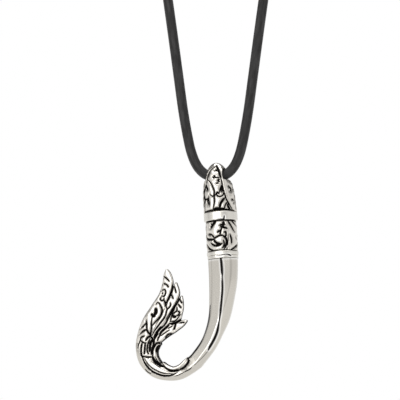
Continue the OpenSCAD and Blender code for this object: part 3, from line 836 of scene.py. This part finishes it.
# Painted shade: the top of the shank is painted black just under the lower band
under_band_shade = hook_top - own[:, 2] - under_band_shade_height
patina_and_shade = (1 - step(-0.05, 0.2, line_gap(own, inner_edge))) * step(0.0, 0.1, np.abs(normals[:, 1]))
for share, lines, inward, outward in thin_dark_lines:
    patina_and_shade = np.maximum(patina_and_shade, share * (1 - step(-inward, outward, line_gap(own, lines))))
shank_black = np.where(flatness > 0.3, shank_gap - black_spread, no_line)
note_patina_and_painted_light(shank.data, np.minimum(shank_black, under_band_shade), patina_and_shade)
smooth_shading(shank, 40)
shank.data.materials.append(buffed_steel)
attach(shank, "pendant")
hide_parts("shank")


# Plume
# The carved end of the hook: three feathers, a fin and leaves that curl round the throat, cast
# in one with the shank. The lines between them are sunk and blackened, front and back.
feather_width, plume_thick = 4.0, 3.2

# The leaves on the hook: percent left and down, then width and thickness in percent of the two
# sizes above, from tip to root
leaves = {
    "second_feather": [
        (52.1, 17.6, 12, 40), (52.4, 22.5, 46, 48), (53.4, 28, 68, 56), (58.2, 35, 68, 64),
        (63, 41.5, 62, 74), (69, 49, 54, 84), (76, 57, 46, 90), (82, 64, 36, 94)],
    "third_feather": [
        (46.6, 29, 12, 30), (47.8, 33, 40, 36), (49.8, 38, 70, 42), (52.5, 43, 84, 48),
        (56.5, 47.5, 76, 54), (66, 53, 60, 60), (74, 60, 46, 66)],
    "fin": [
        (42.3, 50, 14, 40), (46, 51.6, 42, 48), (50.5, 53.4, 58, 56), (58, 56.3, 72, 62),
        (66, 60, 70, 68), (74, 65, 62, 74), (80, 70, 50, 80)],
    "throat_leaf": [
        (71.2, 68.4, 12, 50), (74.5, 69.6, 36, 70), (78, 73.5, 44, 88), (78.5, 78.5, 44, 100),
        (76, 82.5, 38, 106), (72, 86, 20, 110)],
    "crescent": [
        (42.6, 81, 12, 90), (46.5, 84.7, 30, 108), (52.5, 88.8, 38, 112), (60, 90.3, 38, 112),
        (66.3, 88.2, 36, 108), (70.4, 84.2, 14, 96)],
    "foot_leaf": [
        (57.5, 94, 12, 110), (66, 93.6, 38, 124), (75, 90.8, 56, 126), (83.5, 85.6, 60, 120),
        (89.5, 79, 40, 108), (91.8, 75.5, 12, 96)],
    "web": [
        (49.5, 33, 40, 22), (52, 40, 90, 26), (57, 47, 130, 30), (64, 53, 150, 36),
        (72, 59, 130, 44), (80, 66, 100, 50)],
}


def leaf_rings(rows):
    """The rings of one leaf: a lens section swept along its rows, square to its own line."""
    rows = smooth_rows(rows, 4)
    middle = hook_place(rows[:, 0], rows[:, 1])
    ahead = np.gradient(middle, axis=0)
    ahead /= np.linalg.norm(ahead, axis=1)[:, None]
    across = np.linspace(-0.5, 0.5, 13)
    lens_half = 0.2 + 0.3 * np.sqrt(np.clip(1 - 4 * across ** 2, 0, 1))
    across = np.concatenate([across, across[::-1]])
    lens_half = np.concatenate([-lens_half, lens_half[::-1]])
    rings = []
    for place, way, width, thick in zip(middle, ahead, rows[:, 2], rows[:, 3]):
        side = across * feather_width * width / 100
        rings.append(np.stack([place[0] - way[1] * side, lens_half * plume_thick * thick / 100,
                               place[1] + way[0] * side], -1))
    return np.array(rings)


# The plume starts a little inside the shank and is then cut off flush at the seam. The cut reaches
# only a few millimetres round the seam, so that the feathers beside it stay whole.
inside_rows, seam_reach = 4, 6.0
body_rings = [hook_ring(row, edge_cut) for row in hook_line[seam_row * shank_steps - inside_rows:]]
parts = [skin("hook_end", body_rings)] + [skin(name, leaf_rings(rows)) for name, rows in leaves.items()]
plume = cast_solid("cast_plume", parts, [], voxel=0.11, softness=3)
seam = shank_rings[-1]
seam_middle = seam.mean(0)
seam_way = np.cross(seam[10] - seam[0], seam[30] - seam[0])
seam_way *= np.sign(seam_way @ (shank_rings[-2].mean(0) - seam_middle)) / np.linalg.norm(seam_way)
trim = bmesh.new()
trim.from_mesh(plume.data)
near = [f for f in trim.faces if (f.calc_center_median() - Vector(seam_middle)).length < seam_reach]
edges, corners = {e for f in near for e in f.edges}, {v for f in near for v in f.verts}
found = bmesh.ops.bisect_plane(trim, geom=[*corners, *edges, *near], plane_co=seam_middle, plane_no=seam_way,
                               clear_outer=True)
bmesh.ops.holes_fill(trim, edges=[e for e in found["geom_cut"] if isinstance(e, bmesh.types.BMEdge)], sides=0)
trim.to_mesh(plume.data)
trim.free()

# Sunk lines of the plume: width in mm, then percent left and down, the same front and back
plume_lines = [
    # Edge of the long feather, its barbs, and two small rolls on its back
    (0.22, [(52, 13), (53, 15.5), (55, 19.5), (57, 24.5), (59.5, 29), (62.5, 33), (64.5, 36)]),
    (0.38, [(66, 12), (62, 14), (59, 16.5)]),
    (0.36, [(66, 18), (62, 19.5), (60, 21.5)]),
    (0.33, [(68, 23.5), (64.5, 23.5), (63.5, 25.5), (64.5, 28), (66, 29), (68.5, 28.5)]),
    (0.33, [(69, 29.5), (70, 31), (68.5, 32.5), (66, 32), (65.5, 30.5)]),
    (0.22, [(67, 26), (67.5, 26.5)]),
    # Barbs of the second feather, and its curled root
    (0.36, [(54.5, 21), (53, 23.5), (52, 26.5)]),
    (0.36, [(58.5, 27.5), (57, 29), (55.5, 31.5)]),
    (0.34, [(65.5, 32.5), (64.5, 34.5), (64, 38), (62.5, 40)]),
    (0.36, [(59, 34.5), (58.5, 36.5), (60, 38.5), (62.5, 40), (63.5, 42.5), (64.5, 45.5), (66.5, 48)]),
    # Edge of the second feather, running on into the hook in three strands
    (0.26, [(46.5, 27), (49.5, 32), (51.5, 34.5), (53.5, 37), (56, 39.5), (58.5, 43), (61, 46)]),
    (0.5, [(64, 44.5), (66.5, 48), (70.5, 51.5), (74.5, 55), (78, 58), (80, 61.5)]),
    (0.44, [(60.5, 45.5), (63, 48.5), (65, 51.5), (67.5, 54), (71, 56), (74, 58.5), (76.5, 61.5), (78, 64)]),
    (0.26, [(54, 37.5), (56, 40.5), (57.5, 43.5), (59, 47), (60, 51)]),
    # Barbs of the third feather, the pit under it and its folded rim
    (0.34, [(49, 32), (47.5, 34), (46, 35.5)]),
    (0.34, [(51, 36), (49, 38), (47.5, 39.5)]),
    (0.3, [(52.5, 38.5), (52.5, 41.5), (54.5, 42.5), (56.5, 44)]),
    (0.7, [(57.5, 45), (56, 46.5), (54, 46.5)]),
    (0.36, [(51.5, 42), (49.5, 43), (50.5, 45), (53, 46)]),
    (0.25, [(59.5, 50.5), (55.5, 50.5), (52.5, 49), (50, 46.5), (48, 45)]),
    (0.42, [(61, 52.5), (55.5, 52), (51.5, 50.5), (47, 48.5)]),
    # Great spiral with a black eye
    (0.34, [(75, 35), (73, 34), (71, 35), (69.5, 37), (68.5, 39), (68.5, 41.5), (70, 45), (72, 47),
            (76, 50), (79.5, 53)]),
    (1.0, [(75.5, 39), (75, 41.5), (76.5, 44)]),
    (0.8, [(80, 43.5), (78.5, 45), (76.5, 45)]),
    (0.3, [(79.5, 46), (80.5, 50.5), (80.5, 54.5), (81.5, 58), (82.5, 60.5)]),
    # Leaf and chevrons at the back
    (0.36, [(86.5, 48), (86, 52), (86, 55), (85, 57.5), (82.5, 60.5)]),
    (0.38, [(92.5, 54.5), (89, 52.5), (87, 51)]),
    (0.4, [(94, 59.5), (90.5, 57.5), (87.5, 56.5), (85.5, 57.5), (83, 60.5)]),
    (0.3, [(89, 61.5), (91.5, 62), (93.5, 63.5), (94.5, 66), (96, 69), (97, 72)]),
    (0.3, [(94, 65), (91.5, 66.5), (89.5, 67.5), (87, 67.5)]),
    # Crossing, and the panels with dark grooves
    (0.5, [(82, 59.5), (82, 62), (79.5, 65), (78.5, 69)]),
    (0.5, [(87.5, 65.5), (85, 63), (82.5, 62)]),
    (0.5, [(88, 68), (89, 72.5), (89.3, 76.5)]),
    (0.32, [(83, 64.5), (85.5, 69), (86.3, 74), (84.8, 77)]),
    (0.56, [(81.5, 65.5), (83, 69.5), (83.8, 75)]),
    (0.36, [(81, 64.5), (79.5, 68.5), (81.5, 73.5), (82, 77.5)]),
    (0.4, [(91.5, 66.5), (93, 71), (93.5, 76), (92.5, 79.5)]),
    # Fin, with a rolled tip, a fold across it and a curl
    (0.42, [(61, 52), (63, 54), (67, 56.5), (70, 58.5), (72, 61), (74, 64), (74.5, 66)]),
    (0.4, [(50, 52), (47, 51.5), (45, 52)]),
    (0.46, [(54.5, 52.5), (55.5, 55.5), (56.5, 57.5)]),
    (0.18, [(58, 54), (60.5, 55), (63, 56)]),
    (0.2, [(71, 62), (67, 60), (61.5, 57.5)]),
    (0.42, [(59.5, 60.8), (63, 61.6), (65.8, 64)]),
    # Throat leaf, dark inside
    (0.36, [(81, 79), (80.5, 74), (78, 70), (75, 68), (70.5, 68.5)]),
    (0.66, [(73, 70), (75.5, 72.5), (75.5, 75.5)]),
    (0.25, [(77.5, 79.5), (75, 83), (71, 85.5)]),
    # Stem under the panels, and the hollow beside it
    (0.36, [(93, 79), (89, 79), (85.5, 79.5), (81, 79.5)]),
    (0.68, [(81, 79.5), (78.5, 83), (74, 85.8), (70, 88)]),
    # Foot leaf and the line inside its edge
    (0.42, [(92.5, 79), (90.5, 83.5), (87, 88), (82.5, 91.5), (77, 94), (71.5, 95.5), (66.5, 96),
            (60, 95.5), (55, 93.5)]),
    (0.3, [(89.5, 81), (88, 83.5), (85, 87), (80.5, 90), (74.5, 92.5), (69, 94), (60, 94.5)]),
    (0.18, [(90, 89.5), (87.5, 92), (84, 93.5)]),
    # Crescent leaf: the line under it, thick at its tip
    (0.32, [(71, 84), (68, 88.6), (62.5, 91.4), (56, 92), (50.5, 90.5)]),
    (0.6, [(52, 91), (47.5, 89.5), (43.5, 86.5), (41.5, 83), (41, 80.5)]),
    # The shank's fine line, running on outside the crescent
    (0.1, [(38.5, 90), (41, 91.5), (46.5, 93.5), (52.5, 95.5), (57, 96.5)]),
]
plume_line_spread = 0.05
own = points_of(plume.data)
plume_gap = line_gap(own, plume_lines) - plume_line_spread
normals = points_of(plume.data, "normals")
flatness = step(0.15, 0.5, np.abs(normals[:, 1]))
# Outside this line, from the seam round the foot, the bend is ground plain like the shank
outer_line = [
    (38, 79), (39.5, 83), (42, 87), (46, 90), (50.5, 92), (55, 93.6), (60, 95.2), (66.5, 95.8),
    (71.5, 95.3), (77, 93.8), (82.5, 91.2), (87, 87.8), (90.5, 83.5), (92.7, 79), (94, 73.5), (93, 68),
]
throat = hook_place(62, 74)


def round_the_throat(places):
    """Degrees round the middle of the throat, 0 to the right and less going down, and mm out."""
    away = places - throat
    angle = np.degrees(np.arctan2(away[:, 1], away[:, 0]))
    return np.where(angle > 90, angle - 360, angle), np.linalg.norm(away, axis=1)


line_angle, line_radius = round_the_throat(hook_place(*np.array(outer_line).T))
angle, radius = round_the_throat(own[:, [0, 2]])
edge_radius = np.interp(angle, line_angle[::-1], line_radius[::-1], left=99, right=99)
ground = step(-0.1, 0.3, radius - edge_radius)
sunk = carving(plume_gap, depth=0.55, dome=0.28 * (1 - 0.85 * ground), lobe=1.0) * flatness
set_points(plume.data, hang(own - normals * sunk[:, None]))

# A film of black is painted on the side walls of the feathers: some of it is blackening that the wheel
# doesn't reach, and the rest is painted shade, heavier where the walls face right and down. The edges that
# face the throat are painted black too, as painted shade, and the grey streaks at the seam run on from the
# shank.
throat_shade, streak_grey = 0.75, 0.48
low_part = step(60, 66, (hook_top - own[:, 2]) / hook_length * 100)
to_throat = throat - own[:, [0, 2]]
to_throat /= np.linalg.norm(to_throat, axis=1)[:, None]
faces_throat = step(0.1, 0.6, (normals[:, [0, 2]] * to_throat).sum(1))
wall_patina_and_shade = 0.35 + 0.5 * step(-0.3, 0.4, normals[:, 0] - normals[:, 2])
side_wall = 1 - step(0.3, 0.9, np.abs(normals[:, 1]))
patina_and_shade = side_wall * (wall_patina_and_shade * (1 - low_part) + throat_shade * faces_throat * low_part)
patina_and_shade = np.maximum(patina_and_shade, streak_grey * (1 - step(-0.1, 0.3, line_gap(own, tip_streaks))))
note_patina_and_painted_light(plume.data, np.where(flatness > 0.5, plume_gap, plume_gap + 0.1), patina_and_shade)
note(plume.data, "plain", step(-0.05, 0.4, plume_gap) * ground)
smooth_shading(plume, 60)
plume.data.materials.append(antiqued_steel)
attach(plume, "pendant")
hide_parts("plume")


# Floor and studio light
# A pale floor well under the hanging pendant, in a white light tent: even light from all round,
# with a brighter panel in front on the left and a broad one overhead.
floor_below = 60 * MM
floor_half = 6.0
floor_z = cad_low.z - floor_below
floor_corners = [(x * floor_half, y * floor_half, floor_z) for x, y in ((-1, -1), (1, -1), (1, 1), (-1, 1))]
floor_mesh = bpy.data.meshes.new("floor")
floor_mesh.from_pydata(floor_corners, [], [(0, 1, 2, 3)])
floor = new_object("floor", floor_mesh)
# White paper: matt and faintly mottled, and so brightly lit that no shadow shows on it
white_paper, tree, shader = new_material(
    "white_paper", Roughness=0.9, Specular_IOR_Level=0.2, Emission_Color="#ffffff", Emission_Strength=0.75)
mottle = 25 * MM
speckle = noise(tree, add(tree, "ShaderNodeTexCoord").outputs["Object"], mottle, 3)
tree.links.new(mixed(tree, speckle, "#8d8d8c", "#979796"), shader.inputs["Base Color"])
floor.data.materials.append(white_paper)


def panel(name, size, azimuth, elevation, distance, brightness):
    """A soft square lamp round the pendant: azimuth 0 is the camera's side, and right is more."""
    a, e = math.radians(azimuth), math.radians(elevation)
    way = Vector((math.sin(a) * math.cos(e), -math.cos(a) * math.cos(e), math.sin(e)))
    lamp = bpy.data.lights.new(name, "AREA")
    lamp.shape, lamp.size, lamp.energy = "SQUARE", size, math.pi * size ** 2 * brightness
    made = new_object(name, lamp)
    made.location = aim + way * distance
    made.rotation_mode = "QUATERNION"
    made.rotation_quaternion = way.to_track_quat("Z", "Y")
    made.visible_camera = False


panel("front_left_panel", 0.84, azimuth=-28, elevation=10, distance=1.0, brightness=2.0)
panel("top_panel", 3.4, azimuth=0, elevation=88, distance=4.0, brightness=3.0)

studio = bpy.data.worlds.new("studio")
studio.use_nodes = True
studio.node_tree.nodes["Background"].inputs["Color"].default_value = linear("#ffffff")
studio.node_tree.nodes["Background"].inputs["Strength"].default_value = 1.0
bpy.context.scene.world = studio

tent_radius = 6.0
tent_mesh = bpy.data.meshes.new("light_tent")
tent_form = bmesh.new()
bmesh.ops.create_icosphere(tent_form, subdivisions=5, radius=tent_radius)
tent_form.to_mesh(tent_mesh)
tent_form.free()
tent = new_object("light_tent", tent_mesh)
tent.location = aim
tent.visible_camera = False
# White cloth: it lights the steel from all round, a little greyer where its walls meet, and over
# the top of the sweep behind the pendant the room shows through it
white_cloth, tree, shader = new_material(
    "white_cloth", Base_Color="#000000", Specular_IOR_Level=0.0, Emission_Strength=1.0)
place = add(tree, "ShaderNodeTexCoord").outputs["Object"]
way = add(tree, "ShaderNodeSeparateXYZ", {
    0: add(tree, "ShaderNodeVectorMath", {0: place}, operation="NORMALIZE").outputs[0]}).outputs
over = mapped(tree, way["Z"], 0.24, 0.42, interpolation_type="SMOOTHSTEP")
behind = mapped(tree, way["Y"], -0.35, 0.15, interpolation_type="SMOOTHSTEP")
azimuth = reckoned(tree, "ARCTAN2", way["X"], reckoned(tree, "MULTIPLY", way["Y"], -1.0))
light, room_grey = "#ffffff", "#808080"
for middle, half, grey in ((28, 26, "#dedede"), (-92, 20, "#d8d8d8")):  # where the walls meet
    off = reckoned(tree, "ABSOLUTE", reckoned(tree, "SUBTRACT", azimuth, math.radians(middle)))
    seam = mapped(tree, off, 0.0, math.radians(half), 1.0, 0.0, interpolation_type="SMOOTHSTEP")
    light = mixed(tree, seam, light, grey)
light = mixed(tree, reckoned(tree, "MULTIPLY", over, behind), light, room_grey)
tree.links.new(light, shader.inputs["Emission Color"])
white_cloth.cycles.emission_sampling = "NONE"
tent_mesh.materials.append(white_cloth)

bpy.context.scene.view_settings.view_transform = "Standard"
